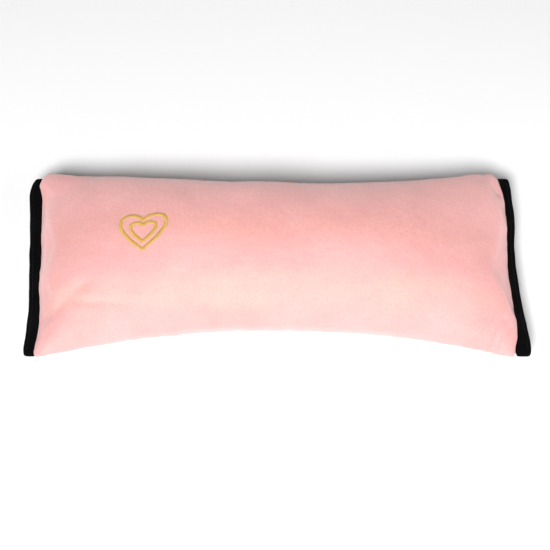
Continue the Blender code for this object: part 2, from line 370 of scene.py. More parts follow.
def plush_material():
    """Short-pile pink plush: the pile leans in soft sweeps, and is darker in fine spots where the tufts are
    low.
    """
    made, tree, shader = new_material("pink_plush", 0.65, 0.42, 0.50, (1.0, 0.93, 0.92), 0.35)
    where = object_place(tree)
    sweep = spread(tree, noise_of(tree, where, 17.0, 2.0, 0.5, 0.5), 0.35, 0.65)
    blotch = spread(tree, noise_of(tree, where, 95.0, 3.0, 0.6), 0.30, 0.70)
    tufts = noise_of(tree, where, 1500.0, 2.0, 0.6)
    fibres = noise_of(tree, where, 3600.0, 1.0, 0.5)
    leaning = mix_colours(tree, sweep, (0.775, 0.370, 0.355), (0.815, 0.415, 0.400))
    patched = mix_colours(tree, maths(tree, "MULTIPLY", blotch, 0.25), leaning, (0.845, 0.465, 0.450))
    across = add_node(tree, "ShaderNodeSeparateXYZ", Vector=where).outputs["Y"]
    wander = maths(tree, "MULTIPLY", maths(tree, "SUBTRACT", noise_of(tree, where, 28.0, 2.0), 0.5), 0.012)
    wandered = maths(tree, "ADD", across, wander)
    patches = spread(tree, noise_of(tree, where, 24.0), 0.40, 0.58)
    patchy = maths(tree, "ADD", maths(tree, "MULTIPLY", patches, 0.5), 0.5)
    # Painted light: each band lightens and tints the pile where light falls across the crown.
    for middle, reach, share, painted_light_colour in PAINTED_LIGHT_BANDS:
        distance = maths(tree, "ABSOLUTE", maths(tree, "SUBTRACT", wandered, middle), 0.0)
        band = maths(tree, "MULTIPLY", spread(tree, distance, reach, reach * 0.2), share)
        patched = mix_colours(tree, maths(tree, "MULTIPLY", band, patchy), patched, painted_light_colour)
    # Painted light towards the ends, standing in for light on the end slopes.
    along = add_node(tree, "ShaderNodeSeparateXYZ", Vector=where).outputs["X"]
    end_painted_light = spread(tree, maths(tree, "ABSOLUTE", along, 0.0), END_PAINTED_LIGHT_START, END_PAINTED_LIGHT_FULL)
    end_painted_light_share = maths(tree, "MULTIPLY", end_painted_light, END_PAINTED_LIGHT_SHARE)
    patched = mix_colours(tree, end_painted_light_share, patched, (0.930, 0.425, 0.415))
    # Darker where the tufts noise is low, in the dips of the pile's bump.
    low_tuft_share = spread(tree, tufts, 0.62, 0.30)
    colour = mix_colours(tree, maths(tree, "MULTIPLY", low_tuft_share, 0.45), patched, (0.600, 0.245, 0.230))
    tree.links.new(colour, shader.inputs["Base Color"])
    soft = bump_to(tree, shader, blotch, 0.0003, 0.5)
    pile = maths(tree, "ADD", maths(tree, "MULTIPLY", tufts, 0.65), maths(tree, "MULTIPLY", fibres, 0.35))
    bump_to(tree, shader, pile, 0.00045, 0.5, soft)
    return made


def woven_material(name, dark, light, pitch, roughness, sheen, specular, relief):
    """Plain weave that follows the cloth: two sets of threads that cross over and under."""
    made, tree, shader = new_material(name, roughness, sheen, 0.5, (0.8, 0.8, 0.85), specular)
    flat = add_node(tree, "ShaderNodeAttribute", {"attribute_name": "cloth_place"}).outputs["Vector"]
    wobble = noise_of(tree, flat, 900.0, 1.0)
    scale = 2 * math.pi / (20 * pitch)
    threads = []
    for direction in ("X", "Y"):
        wave = add_node(tree, "ShaderNodeTexWave", {"bands_direction": direction}, Vector=flat, Scale=scale)
        threads.append(wave.outputs["Fac"])
    crossing = maths(tree, "MULTIPLY", threads[0], threads[1])
    weave = maths(tree, "ADD", crossing, maths(tree, "MULTIPLY", wobble, 0.35))
    dust = spread(tree, noise_of(tree, flat, 60.0, 4.0, 0.65), 0.45, 0.75)
    cloth = mix_colours(tree, weave, dark, light)
    worn = mix_colours(tree, maths(tree, "MULTIPLY", dust, 0.25), cloth, tuple(2.2 * c for c in light))
    tree.links.new(worn, shader.inputs["Base Color"])
    bump_to(tree, shader, weave, relief)
    return made


def thread_material(name, dark, light, roughness, sheen, specular, grain):
    """Twisted thread: fine plies, painted lighter where they turn up and darker between them as light and
    shade, with broader patches of painted shade.
    """
    made, tree, shader = new_material(name, roughness, sheen, 0.3, (1.0, 0.95, 0.85), specular)
    where = object_place(tree)
    # Painted light and shade on the plies, following their bump, and painted shade in broader patches.
    plies = noise_of(tree, where, grain, 2.0, 0.6)
    shade = noise_of(tree, where, grain / 12, 1.0)
    ply_colour = mix_colours(tree, spread(tree, plies, 0.3, 0.7), dark, light)
    colour = mix_colours(tree, maths(tree, "MULTIPLY", shade, 0.4), ply_colour, dark)
    tree.links.new(colour, shader.inputs["Base Color"])
    bump_to(tree, shader, plies, 0.00012, 0.6)
    return made


# ---------------------------------------------------------------- stuffed body


def end_height(share):
    """Share of the full height at this share of the half length."""
    return max(1 - abs(share) ** END_POWER, 0.0) ** (1 / END_POWER)


def seam_half_depth(x):
    share = min(abs(x) / BODY_HALF_LENGTH, 1.0)
    return SEAM_HALF_DEPTH_MIDDLE + (SEAM_HALF_DEPTH_END - SEAM_HALF_DEPTH_MIDDLE) * share**WAIST_POWER


def station_shares():
    """Shares of the half length, closer together towards the ends, where the body drops away."""
    reach = 0.4935 * math.pi
    return [math.sin(reach * (2 * i / STATION_STEPS - 1)) for i in range(STATION_STEPS + 1)]


def crown_section(share, inset):
    """Points over the crown from the rear seam to the front seam."""
    x = share * (BODY_HALF_LENGTH - inset)
    height = end_height(share)
    rise = (CROWN_Z - COVER_RIM_Z - inset) * height
    seam = seam_half_depth(x) - inset
    half_depth = seam + BULGE * height**BULGE_POWER
    equator = SEAM_Z + EQUATOR_SHARE * rise
    roll = []
    for i in range(ROLL_STEPS):
        angle = math.pi / 2 * (1 - i / ROLL_STEPS)
        y = seam + (half_depth - seam) * math.cos(angle)
        roll.append(Vector((x, y, equator - EQUATOR_SHARE * rise * math.sin(angle))))
    dome = []
    for i in range(DOME_STEPS + 1):
        angle = math.pi * i / DOME_STEPS
        z = equator + (1 - EQUATOR_SHARE) * rise * math.sin(angle)
        dome.append(Vector((x, half_depth * math.cos(angle), z)))
    return roll + dome + [Vector((p.x, -p.y, p.z)) for p in reversed(roll)]


def belly_point(x, half_depth, top, sag, angle):
    side = math.copysign(abs(math.cos(angle)) ** (2 / BELLY_POWER), math.cos(angle))
    drop = sag * max(math.sin(angle), 0.0) ** (2 / BELLY_POWER)
    return Vector((x, half_depth * side, top - drop))


def bump(place, middle, width):
    return math.exp(-(((place - middle) / width) ** 2))


def relief_at(bumps, place):
    """Height of a line of smooth bumps at this place. Each has a height, a middle and a half width."""
    return sum(height * bump(place, middle, width) for height, middle, width in bumps)


# How far the left (-1) and the right (1) end stray outwards, as bumps along Y: the body's, then its hems'
BODY_STRAY = {
    -1: (
        (0.0020, -0.062, 0.012), (-0.0010, 0.0, math.inf), (-0.0011, -0.036, 0.018),
        (0.0024, 0.0545, 0.0055), (-0.0006, 0.003, 0.014),
    ),
    1: ((0.0018, 0.033, 0.020), (-0.0010, -0.008, 0.014), (-0.0020, -0.060, 0.008)),
}
HEM_STRAY = {
    -1: (
        (0.0004, -0.058, 0.006), (-0.0011, -0.032, 0.016),
        (0.0006, 0.048, 0.006), (-0.0024, 0.0615, 0.0055),
    ),
    1: ((0.0014, 0.030, 0.018), (0.0011, -0.055, 0.010)),
}


def end_shift(x, y):
    """How far the body's sewn ends stray outwards from straight lines: each end is drawn in and out."""
    side = round(math.copysign(1, x))
    near_end = smooth_step((abs(x) / BODY_HALF_LENGTH - 0.80) / 0.19)
    return side * relief_at(BODY_STRAY[side], y) * near_end


def rounded_corner(point):
    """Rounds the body's corners in plan, more at the rear, where the cover was turned less sharply."""
    radius = REAR_CORNERS[round(math.copysign(1, point.x))] if point.y > 0 else FRONT_CORNER
    past = abs(point.x) - (BODY_HALF_LENGTH + PILE - radius)
    if past <= 0:
        return point
    cut = radius - math.sqrt(max(radius**2 - past**2, 0.0))
    return Vector((point.x, point.y * (1 - cut / SEAM_HALF_DEPTH_END), point.z))


def body_rings(inset):
    """Rings round the body: over the crown, then back under the belly, point by point."""
    rings = []
    sag = BACK_RIM_Z - BACKING - BACK_LOW.z - BELLY_CLEARANCE
    for share in station_shares():
        crown = crown_section(share, inset)
        x = crown[0].x
        half_depth = seam_half_depth(x) - BACK_INSET - BELLY_SIDE_CLEARANCE
        steps = len(crown) - 1
        belly = []
        for i in range(steps + 1):
            angle = math.pi * (1 - i / steps)
            y = belly_point(x, half_depth, 0.0, 0.0, angle).y
            height = end_height(min(abs(x + end_shift(x, y)) / COVER_HIGH.x, 1.0))
            belly.append(belly_point(x, half_depth, SEAM_Z - BELLY_BELOW_SEAM, sag * height, angle))
        rounded = map(rounded_corner, crown + belly)
        rings.append([Vector((p.x + end_shift(p.x, p.y), p.y, p.z)) for p in rounded])
    return rings


def simulate_stuffing(body, held):
    """Blows the cover up against its seam and the cloth under it, so that its spare cloth puckers there."""
    pins = body.vertex_groups.new(name="held")
    pins.add(held, 1.0, "REPLACE")
    rest = np.array([v.co for v in body.data.vertices])
    cloth = body.modifiers.new("stuffing", "CLOTH")
    settings = cloth.settings
    settings.quality = 6
    settings.mass = 0.15
    settings.tension_stiffness = 25
    settings.compression_stiffness = 25
    settings.shear_stiffness = 12
    settings.bending_stiffness = 0.8
    settings.use_pressure = True
    settings.uniform_pressure_force = SIM_PRESSURE
    settings.shrink_min = SIM_SPARE_CLOTH
    settings.vertex_group_mass = "held"
    settings.effector_weights.gravity = 0.0
    cloth.collision_settings.use_collision = False
    cloth.point_cache.frame_start = 1
    cloth.point_cache.frame_end = SIM_FRAMES
    scene = bpy.context.scene
    for step in range(1, SIM_FRAMES + 1):
        scene.frame_set(step)
    evaluated = body.evaluated_get(bpy.context.evaluated_depsgraph_get())
    moved = np.array([v.co for v in evaluated.data.vertices]) - rest
    body.modifiers.remove(cloth)
    scene.frame_set(1)
    length = np.linalg.norm(moved, axis=1, keepdims=True) + 1e-12
    capped = moved / length * SIM_CAP * np.tanh(length / SIM_CAP)
    body.data.vertices.foreach_set("co", (rest + capped).astype(np.float32).ravel())
    body.data.update()


def subdivide(obj, levels):
    modifier = obj.modifiers.new("finer", "SUBSURF")
    modifier.levels = levels
    modifier.render_levels = levels
    evaluated = obj.evaluated_get(bpy.context.evaluated_depsgraph_get())
    finer = bpy.data.meshes.new_from_object(evaluated)
    obj.modifiers.remove(modifier)
    obj.data = finer


# Folds in the plush: (from, to) on the plan, depth, half width. A negative depth is a ridge.
FOLDS = (
    ((0.1310, 0.0590), (0.1400, 0.0450), 0.0007, 0.0026),
    ((0.1375, 0.0560), (0.1430, 0.0430), -0.0003, 0.0024),
    ((0.1265, -0.0580), (0.1345, -0.0430), 0.0016, 0.0016),
    ((0.1310, -0.0580), (0.1380, -0.0470), 0.0012, 0.0014),
    ((-0.1340, -0.0420), (-0.1120, -0.0280), 0.0013, 0.0046),
    ((-0.1165, -0.0370), (-0.0640, -0.0430), 0.0008, 0.0030),
    ((-0.0560, -0.0270), (-0.0520, -0.0430), 0.0008, 0.0034),
    ((-0.1400, 0.0300), (-0.1080, 0.0480), 0.0008, 0.0070),
    ((0.0340, 0.0400), (0.0880, 0.0440), 0.0021, 0.0200),
)
# The rolled rim, and the gathers in it, as bumps up from the seam
RIM = ((0.0003, 0.0028, 0.0018), (-0.0002, 0.0075, 0.0028))
GATHERS = ((0.00045, 0.005, 0.004),)
GATHER_PITCH = 0.008
FOLDS_START = 0.006  # folds and lumps fade in over this height above the seam
# Relief height, distance between lumps, seed of the noise
LUMPS = ((0.0005, 0.045, 3.0), (0.00025, 0.016, 8.0), (0.00010, 0.0045, 5.0))


def fold_depth(x, y):
    depth = 0.0
    for start, end, deep, width in FOLDS:
        a = Vector(start)
        line = Vector(end) - a
        spot = Vector((x, y)) - a
        share = spot.dot(line) / line.length_squared
        aside = spot - line * min(max(share, 0.0), 1.0)
        depth += deep * math.exp(-aside.length_squared / width**2)
    return depth


def shape_plush(body):
    """Rolled rim, folds and unevenness, along the surface's own normals."""
    mesh = body.data
    normals = [v.normal.copy() for v in mesh.vertices]
    for vertex, normal in zip(mesh.vertices, normals):
        x, y, z = vertex.co
        above = z - SEAM_Z
        if above < 0:
            continue
        free = smooth_step(above / FOLDS_START)
        rim = relief_at(RIM, above)
        gathers = relief_at(GATHERS, above) * unevenness(x, y, 0, GATHER_PITCH, 13.0)
        lumps = sum(height * unevenness(x, y, z, pitch, seed) for height, pitch, seed in LUMPS)
        vertex.co += normal * (rim + gathers + free * (lumps - fold_depth(x, y)))
    mesh.update()


def make_body(plush):
    rings = body_rings(-PILE)
    points, faces, place = loft(rings)
    body = add_piece("plush_body", points, faces, plush, bend_at=180)
    count = len(rings[0])
    half = count // 2
    ends = set(range(count)) | set(range(len(points) - count, len(points)))
    under = {i * count + j for i in range(len(rings)) for j in (0, *range(half - 1, count))}
    simulate_stuffing(body, sorted(ends | under))
    subdivide(body, 1)
    shape_plush(body)
    skewed(body)
    body.data.shade_smooth()
    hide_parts("front_cover", "fibre_filling")
    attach(body, "pillow")
    return body


# ---------------------------------------------------------------- back cloth and hems


FLANGE_IN_HEM = 0.0015  # how far past the hem's middle the back cloth's ends reach
BACK_STEPS = 56
BACK_EDGE_TAPER = 0.0004
PUCKER_HEIGHT = 0.0005
PUCKER_PITCH = 0.0075
PUCKER_REACH = 0.007  # how far from the seam the puckers fade
BACK_SLACK = 0.0005


def make_back_cloth(black):
    """The cloth under the body, puckered along its seams, with flat ends that run into the hems."""
    outer_sag = BACK_RIM_Z - BACKING - BACK_LOW.z
    rings = []
    stations = [(s * COVER_HIGH.x, end_height(s)) for s in station_shares()]
    for x, height in [(-BACK_HIGH.x, 0.0), *stations, (BACK_HIGH.x, 0.0)]:
        half_depth = min(seam_half_depth(x), SEAM_HALF_DEPTH_END) - BACK_INSET
        under = []
        upper = []
        for i in range(BACK_STEPS + 1):
            angle = math.pi * i / BACK_STEPS
            low = belly_point(x, half_depth, BACK_RIM_Z - BACKING, outer_sag * height, angle)
            high = belly_point(x, half_depth - BACK_EDGE_TAPER, BACK_RIM_Z, outer_sag * height, angle)
            near_seam = math.exp(-(half_depth - abs(low.y)) / PUCKER_REACH) * smooth_step(height * 3)
            turn = 2 * math.pi * (x / PUCKER_PITCH + unevenness(x, 0, 0, 0.03))
            pucker = PUCKER_HEIGHT * near_seam * math.sin(turn)
            lift = pucker + BACK_SLACK * height * (unevenness(x, low.y, 0, 0.03, 11.0) - 0.3)
            reach = x
            if abs(x) == BACK_HIGH.x:
                side = round(math.copysign(1, x))
                reach = hem_centre(side, low.y)[0] + side * FLANGE_IN_HEM
            under.append(Vector((reach, low.y, low.z + lift)))
            upper.append(Vector((reach, high.y, high.z + lift)))
        rings.append(under + upper[::-1])
    points, faces, place = loft(rings)
    cloth = skewed(add_piece("back_cloth", points, faces, black, place))
    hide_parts("back_panel")
    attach(cloth, "pillow")


HEM_STEPS = 150
HEM_SIDES = 28
HEM_TUCK = 0.0022  # how far the hem reaches in under the plush, past the CAD trim's mouth
HEM_BOW = {-1: 0.0011, 1: 0.0024}  # how far the middle of each end is drawn in
HEM_RELIEF = ((0.00022, -0.05, 0.16), (-0.00018, 0.38, 0.20))  # bumps across its top, from -1 to 1
HEM_SIDE_POWER = 0.62  # 1 makes the section round, less makes it squarer
HEM_TOP_POWER = 0.75
HEM_END_POWER = 26
HEM_STITCH_OUT = 0.0013  # from the hem's middle to its row of stitches
HEM_STITCH_SINK = 0.0002
HEM_STITCH_END_GAP = 0.003
HEM_STITCH_RADIUS = 0.0002
SEAM_STEPS = 120
SEAM_END_GAP = 0.002
SEAM_STITCH_INSET = 0.0012
SEAM_STITCH_BELOW = 0.0006


def hem_centre(side, y):
    """(x, z) of the hem's middle. The stuffing draws its middle in, and its edge waves a little."""
    width = TRIM_HIGH.x - TRIM_LOW.x
    bow = HEM_BOW[side] * math.cos(math.pi / 2 * y / HALF_DEPTH) ** 2
    wave = 0.0005 * unevenness(side, y, 0, 0.022, 2.0) + 0.0003 * unevenness(side, y, 0, 0.009, 4.0)
    x = HALF_LENGTH - width / 2 - bow + wave + relief_at(HEM_STRAY[side], y)
    z = (TRIM_LOW.z + TRIM_HIGH.z) / 2 + 0.0005 * unevenness(side, y, 1, 0.018, 6.0)
    return side * x, z


def hem_ring(side, y, size):
    """Folded cloth in section: soft corners, and a ridge on top where the fold's edge shows through."""
    width = TRIM_HIGH.x - TRIM_LOW.x + HEM_TUCK
    height = TRIM_HIGH.z - TRIM_LOW.z
    x, z = hem_centre(side, y)
    x -= side * HEM_TUCK / 2
    ring = []
    for i in range(HEM_SIDES):
        angle = 2 * math.pi * (i + 0.5) / HEM_SIDES
        across = math.copysign(abs(math.cos(angle)) ** HEM_SIDE_POWER, math.cos(angle))
        up = math.copysign(abs(math.sin(angle)) ** HEM_TOP_POWER, math.sin(angle))
        shift = relief_at(HEM_RELIEF, across) * (1 if up > 0 else 0.3)
        puff = 1 + 0.06 * unevenness(across, y, up, 0.03, 9.0)
        dz = up * (height / 2 * puff + shift) * (0.55 + 0.45 * size)
        ring.append(Vector((x + side * across * width / 2 * (0.7 + 0.3 * size), y, z + dz)))
    return ring


def hem_size(share):
    """1 along most of the hem, rounded off at its ends."""
    return max(1 - abs(share) ** HEM_END_POWER, 0.0) ** 0.5


def make_end_hem(name, side, node, binding, thread):
    rings = []
    for i in range(HEM_STEPS + 1):
        share = math.sin(math.pi / 2 * (2 * i / HEM_STEPS - 1))
        rings.append(hem_ring(side, share * HALF_DEPTH, hem_size(share)))
    points, faces, place = loft(rings)
    place = [(p.y, r) for p, (_, r) in zip(points, place)]
    hem = skewed(add_piece(name, points, faces, binding, place))
    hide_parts(node)
    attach(hem, "pillow")
    line = []
    for i in range(HEM_STEPS + 1):
        y = (2 * i / HEM_STEPS - 1) * (HALF_DEPTH - HEM_STITCH_END_GAP)
        x, z = hem_centre(side, y)
        top = z + (TRIM_HIGH.z - TRIM_LOW.z) / 2 - HEM_STITCH_SINK
        line.append(Vector((x + side * HEM_STITCH_OUT, y, top)))
    upward = Vector((0, 0, 1))
    row = stitches(name + "_stitches", line, lambda spot: upward, thread, radius=HEM_STITCH_RADIUS)
    seam = skewed(row)
    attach(seam, "pillow")


def make_seam_stitches(thread):
    """The ladder stitch that closes the body, in the groove between the plush and the back cloth."""
    line = []
    for i in range(SEAM_STEPS + 1):
        x = (2 * i / SEAM_STEPS - 1) * (COVER_HIGH.x - SEAM_END_GAP)
        line.append(Vector((x, seam_half_depth(x) - SEAM_STITCH_INSET, SEAM_Z - SEAM_STITCH_BELOW)))
    for name, side in (("rear_seam_stitches", REAR), ("front_seam_stitches", FRONT)):
        course = [Vector((p.x, side * p.y, p.z)) for p in line]
        seam = stitches(name, course, lambda spot: Vector((0, math.copysign(1, spot.y), 0)), thread)
        skewed(seam)
        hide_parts("perimeter_seam_thread")
        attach(seam, "pillow")


# ---------------------------------------------------------------- embroidery


STITCH_PITCH = 0.00034
STITCH_HALF_WIDTH = 0.00105
STITCH_RADIUS = 0.00019
STITCH_LOFT = 0.00055


def heart_outline(low, high, count):
    """Points round a plain heart that fills this box, its point towards the front."""
    half_width = (high.x - low.x) / 2 - STITCH_HALF_WIDTH / 2
    middle = (low.x + high.x) / 2
    points = []
    for i in range(count):
        angle = 2 * math.pi * i / count
        up = (13 * math.cos(angle) - 5 * math.cos(2 * angle) - 2 * math.cos(3 * angle)) / 16
        points.append(Vector((middle + half_width * math.sin(angle) ** 3, half_width * (up + 0.16), 0.0)))
    return points


def make_satin_heart(name, node, surface, gold, seed):
    """Satin stitch: one thread that goes back and forth over the heart's outline, close together."""
    low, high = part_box(node)
    source = random.Random(seed)
    points = []
    faces = []
    way = 1
    for spot, along in walk(heart_outline(low, high, 160), STITCH_PITCH, closed=True):
        across = Vector((along.y, -along.x, 0.0))
        reach = STITCH_HALF_WIDTH * (1 + 0.12 * source.uniform(-1, 1))
        slant = along * (way * STITCH_PITCH * 0.5 + STITCH_HALF_WIDTH * 0.35)
        course = []
        for share in (-1.0, -0.85, -0.5, 0.0, 0.5, 0.85, 1.0):
            plan = spot + across * (share * reach) + slant * share
            ground = surface.ray_cast(Vector((plan.x, plan.y, 1.0)), Vector((0, 0, -1)))[0]
            lift = STITCH_LOFT * (1 - abs(share) ** 3) - STITCH_RADIUS * 0.6
            course.append(ground + Vector((0, 0, lift)))
        more, more_faces = tube(course, [STITCH_RADIUS] * 7, 6, len(points))
        points += more
        faces += more_faces
        way = -way
    heart = add_piece(name, points, faces, gold)
    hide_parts(node)
    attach(heart, "pillow")


# ---------------------------------------------------------------- sleeve


def bezier(points, share):
    a, b, c, d = points
    rest = 1 - share
    return rest**3 * a + 3 * rest**2 * share * b + 3 * rest * share**2 * c + share**3 * d


def wall_path(x):
    """(y, z) down the sewn part of a flap, y counted outwards, from the long seam to the hinge."""
    loose = smooth_step((abs(x) - SEWN_HALF_LENGTH) / (LOOSE_START - SEWN_HALF_LENGTH))
    sewn = Vector((seam_half_depth(x) - SEWN_INSET, ROOT_HIGH.z))
    top = sewn.lerp(Vector((LOOSE_HALF_DEPTH, LOOSE_TOP_Z)), loose)
    foot = Vector((HINGE_Y + HINGE_GAP + FOOT_RUN, BACKING / 2))
    curve = (top, top.lerp(foot, 0.45), foot + Vector((FOLD_RUN, 0.0)), foot)
    path = [bezier(curve, i / WALL_STEPS) for i in range(WALL_STEPS + 1)]
    return path + [Vector((HINGE_Y + 0.0004, BACKING / 2)), Vector((HINGE_Y, BACKING / 2))]


def flap_path(side):
    """(y, z) along a flap from its hinge to its free edge, y counted towards the hinge's side."""
    low = BACKING / 2
    edge = FLAP_LOW.y
    if side == REAR:
        run = HINGE_Y - edge
        shares = [i / FLAP_STEPS for i in range(1, FLAP_STEPS)]
        middle = [Vector((HINGE_Y - run * share, low)) for share in shares]
    else:
        high = INNER_FLAP_HIGH.z - low
        middle = [Vector((HINGE_Y - 0.0017, low))]
        for i in range(RAMP_STEPS + 1):
            share = i / RAMP_STEPS
            y = RAMP_START + (RAMP_END - RAMP_START) * share
            middle.append(Vector((y, low + (high - low) * smooth_step(share))))
        flat = RAMP_END - edge
        middle += [Vector((RAMP_END - flat * i / 12, high)) for i in range(1, 12)]
    level = middle[-1].y
    for i in range(EDGE_STEPS + 1):
        back = BACKING / 2 * (1 - math.sin(math.pi / 2 * i / EDGE_STEPS))
        middle.append(Vector((edge + back, level)))
    return middle


def lie(x, y):
    """How far the sleeve lifts off the flat here: the same for every layer, and nothing at the hinges."""
    window = smooth_step((HINGE_Y - abs(y)) / 0.012)
    return LIE_HEIGHT * window * (0.5 + 0.5 * unevenness(x, y, 0, 0.035, 21.0))


def wall_wave(x, share):
    """Slack in the sewn part, most in the middle of its height, with soft creases down it."""
    window = math.sin(math.pi * min(max(share, 0.0), 1.0)) ** 2
    slack = WALL_SLACK[0] * unevenness(x, 0.05 * share, 0, WALL_SLACK[1], 31.0)
    slant = 0.018 * share
    creases = WALL_CREASES[0] * unevenness(x + slant, 0.010 * share, 0, WALL_CREASES[1], 33.0)
    return window * (slack + creases)


def sleeve_ring(side, x, inner=0.0, rounding=1.0):
    """Outline of the cloth at this x. inner is extra thickness on its inner face."""
    path = wall_path(x) + flap_path(side)
    under = []
    upper = []
    last = len(path) - 1
    tail = last - EDGE_STEPS
    drawn_in = 0.0
    if side == REAR and x < 0:
        drawn_in = CORNER_DRAWN_IN * smooth_step((abs(x) - CORNER_START) / (CORNER_FULL - CORNER_START))
    for i, point in enumerate(path):
        along = (path[min(i + 1, last)] - path[max(i - 1, 0)]).normalized()
        inward = Vector((along.y, -along.x))
        thin = 1.0
        if i > tail:
            thin = max(math.cos(math.pi / 2 * (i - tail) / EDGE_STEPS), 0.12)
        wave = wall_wave(x, i / WALL_STEPS) if i < WALL_STEPS else 0.0
        middle = point + inward * wave
        drawn_x = x + drawn_in * bump(i / WALL_STEPS, 0.0, 0.2)
        low = middle - inward * (BACKING / 2 * rounding) * thin
        high = middle + inward * (BACKING / 2 * rounding + inner) * thin
        for line, spot in ((under, low), (upper, high)):
            y = side * spot.x
            line.append(Vector((drawn_x, y, max(spot.y, 0.0) + lie(x, y))))
    return under + upper[::-1]


def blended(obj):
    """Bakes the cloth's placement into its points."""
    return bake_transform(obj)


BINDING_OVERLAP = 0.0002  # how far the cloth's end reaches into its binding
BINDING_SHARES = (0.0, 0.04, 0.12, 0.3, 0.5, 0.7, 0.88, 0.96, 1.0)
SLEEVE_STEPS = 150


def make_sleeve_side(label, side, black, binding):
    """One side of the sleeve: a single cloth from the long seam, round its fold, to the free edge."""
    reach = BINDING_HIGH.x
    cloth_end = BINDING_LOW.x + BINDING_OVERLAP
    xs = [cloth_end * math.sin(math.pi / 2 * (2 * i / SLEEVE_STEPS - 1)) for i in range(SLEEVE_STEPS + 1)]
    points, faces, place = loft([sleeve_ring(side, x) for x in xs])
    cloth = skewed(add_piece(label + "_sleeve", points, faces, black, place))
    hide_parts(label + "_flap_root", label + "_flap")
    blended(cloth)
    extra = BINDING_HIGH.z - BINDING_LOW.z - BACKING
    start = BINDING_LOW.x
    for way_name, way in (("left", -1), ("right", 1)):
        rings = []
        for share in BINDING_SHARES:
            full = math.sqrt(max(1 - abs(2 * share - 1) ** 4, 0.0))
            x = way * (start + (reach - start) * share)
            rings.append(sleeve_ring(side, x, inner=extra * full, rounding=0.75 + 0.25 * full))
        points, faces, place = loft(rings)
        name = f"{label}_{way_name}_sleeve_binding"
        strip = skewed(add_piece(name, points, faces, binding, place))
        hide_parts(f"{label}_flap_root_{way_name}_binding", f"{label}_flap_{way_name}_binding")
        blended(strip)


TAPE_BASE = 0.0005
TAPE_STEPS = 130
TAPE_WIDTH_STEPS = 16
HOOK_PITCH = 0.0016
HOOK_ROWS = 11
HOOK_RADII = (0.00011, 0.0001, 0.0001, 0.0001, 0.00007)
HOOK_REACH = 0.00042
LOOP_COUNT = 2600
LOOP_RADIUS = 0.00008
TAPE_STITCH_INSET = 0.0006
TAPE_STITCH_HEIGHT = 0.0003  # above the tape's sewn face
CLOTH_STITCH_SINK = 0.0001


def tape_base(low, high, bottom, up):
    """A woven strip with thin flat selvedges along its long edges."""
    rings = []
    for i in range(TAPE_STEPS + 1):
        x = low.x + (high.x - low.x) * i / TAPE_STEPS
        near = []
        far = []
        for j in range(TAPE_WIDTH_STEPS + 1):
            share = j / TAPE_WIDTH_STEPS
            y = high.y + (low.y - high.y) * share
            thick = TAPE_BASE * (0.55 + 0.45 * smooth_step(min(share, 1 - share) / 0.08))
            settle = lie(x, y)
            near.append(Vector((x, y, bottom + settle)))
            far.append(Vector((x, y, bottom + up * thick + settle)))
        rings.append(near + far[::-1])
    return loft(rings)


def make_hook_tape(hook):
    """Hook side: rows of small stiff hooks that lean both ways, on the rear flap's inner face."""
    source = random.Random(7)
    points, faces, place = tape_base(HOOK_LOW, HOOK_HIGH, HOOK_LOW.z, 1)
    rise = HOOK_HIGH.z - HOOK_LOW.z - TAPE_BASE
    columns = int((HOOK_HIGH.x - HOOK_LOW.x - 0.002) / HOOK_PITCH)
    for row in range(HOOK_ROWS):
        y = HOOK_LOW.y + (HOOK_HIGH.y - HOOK_LOW.y) * (row + 1.5) / (HOOK_ROWS + 2)
        for column in range(columns):
            x = HOOK_LOW.x + 0.001 + HOOK_PITCH * (column + 0.5 * (row % 2) + 0.12 * source.uniform(-1, 1))
            lean = 1 if (row + column) % 2 else -1
            ground = HOOK_LOW.z + TAPE_BASE + lie(x, y)
            course = []
            for share in (0.0, 0.35, 0.65, 0.85, 1.0):
                turn = math.pi * 0.8 * share
                dx = lean * HOOK_REACH * (1 - math.cos(turn))
                dz = rise * 0.93 * math.sin(min(turn, math.pi * 0.62)) - 0.0002 * max(share - 0.8, 0) * 5
                course.append(Vector((x + dx, y, ground - 0.00005 + dz)))
            more, more_faces = tube(course, HOOK_RADII, 4, len(points))
            points.extend(more)
            faces.extend(more_faces)
            place.extend([(x, y)] * len(more))
    tape = skewed(add_piece("hook_tape_strip", points, faces, hook, place))
    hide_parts("hook_tape")
    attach(tape, "rear_flap")


def make_loop_tape(loop):
    """Loop side: a brushed bed of small soft loops, on the front flap's outer face."""
    source = random.Random(11)
    points, faces, place = tape_base(LOOP_LOW, LOOP_HIGH, LOOP_HIGH.z, -1)
    drop = LOOP_HIGH.z - LOOP_LOW.z - TAPE_BASE
    for _ in range(LOOP_COUNT):
        x = source.uniform(LOOP_LOW.x + 0.002, LOOP_HIGH.x - 0.002)
        y = source.uniform(LOOP_LOW.y + 0.0016, LOOP_HIGH.y - 0.0016)
        heading = source.uniform(0, math.pi)
        width = source.uniform(0.0006, 0.0011)
        depth = drop * source.uniform(0.6, 0.97)
        top = LOOP_HIGH.z - TAPE_BASE + lie(x, y)
        course = []
        for share in (-1.0, -0.8, 0.0, 0.8, 1.0):
            dx = math.cos(heading) * width * share
            dy = math.sin(heading) * width * share
            course.append(Vector((x + dx, y + dy, top - depth * (1 - share**4))))
        more, more_faces = tube(course, [LOOP_RADIUS] * 5, 3, len(points))
        points.extend(more)
        faces.extend(more_faces)
        place.extend([(x, y)] * len(more))
    tape = skewed(add_piece("loop_tape_strip", points, faces, loop, place))
    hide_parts("loop_tape")
    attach(tape, "front_flap")


def tape_rectangle(low, high, z):
    left, right = low.x + TAPE_STITCH_INSET, high.x - TAPE_STITCH_INSET
    front, rear = low.y + TAPE_STITCH_INSET, high.y - TAPE_STITCH_INSET
    corners = [Vector((x, y, 0.0)) for x, y in ((left, front), (right, front), (right, rear), (left, rear))]
    line = []
    for a, b in zip(corners, corners[1:] + corners[:1]):
        count = max(int((b - a).length / 0.002), 1)
        for i in range(count):
            spot = a.lerp(b, i / count)
            line.append(Vector((spot.x, spot.y, z + lie(spot.x, spot.y))))
    return line


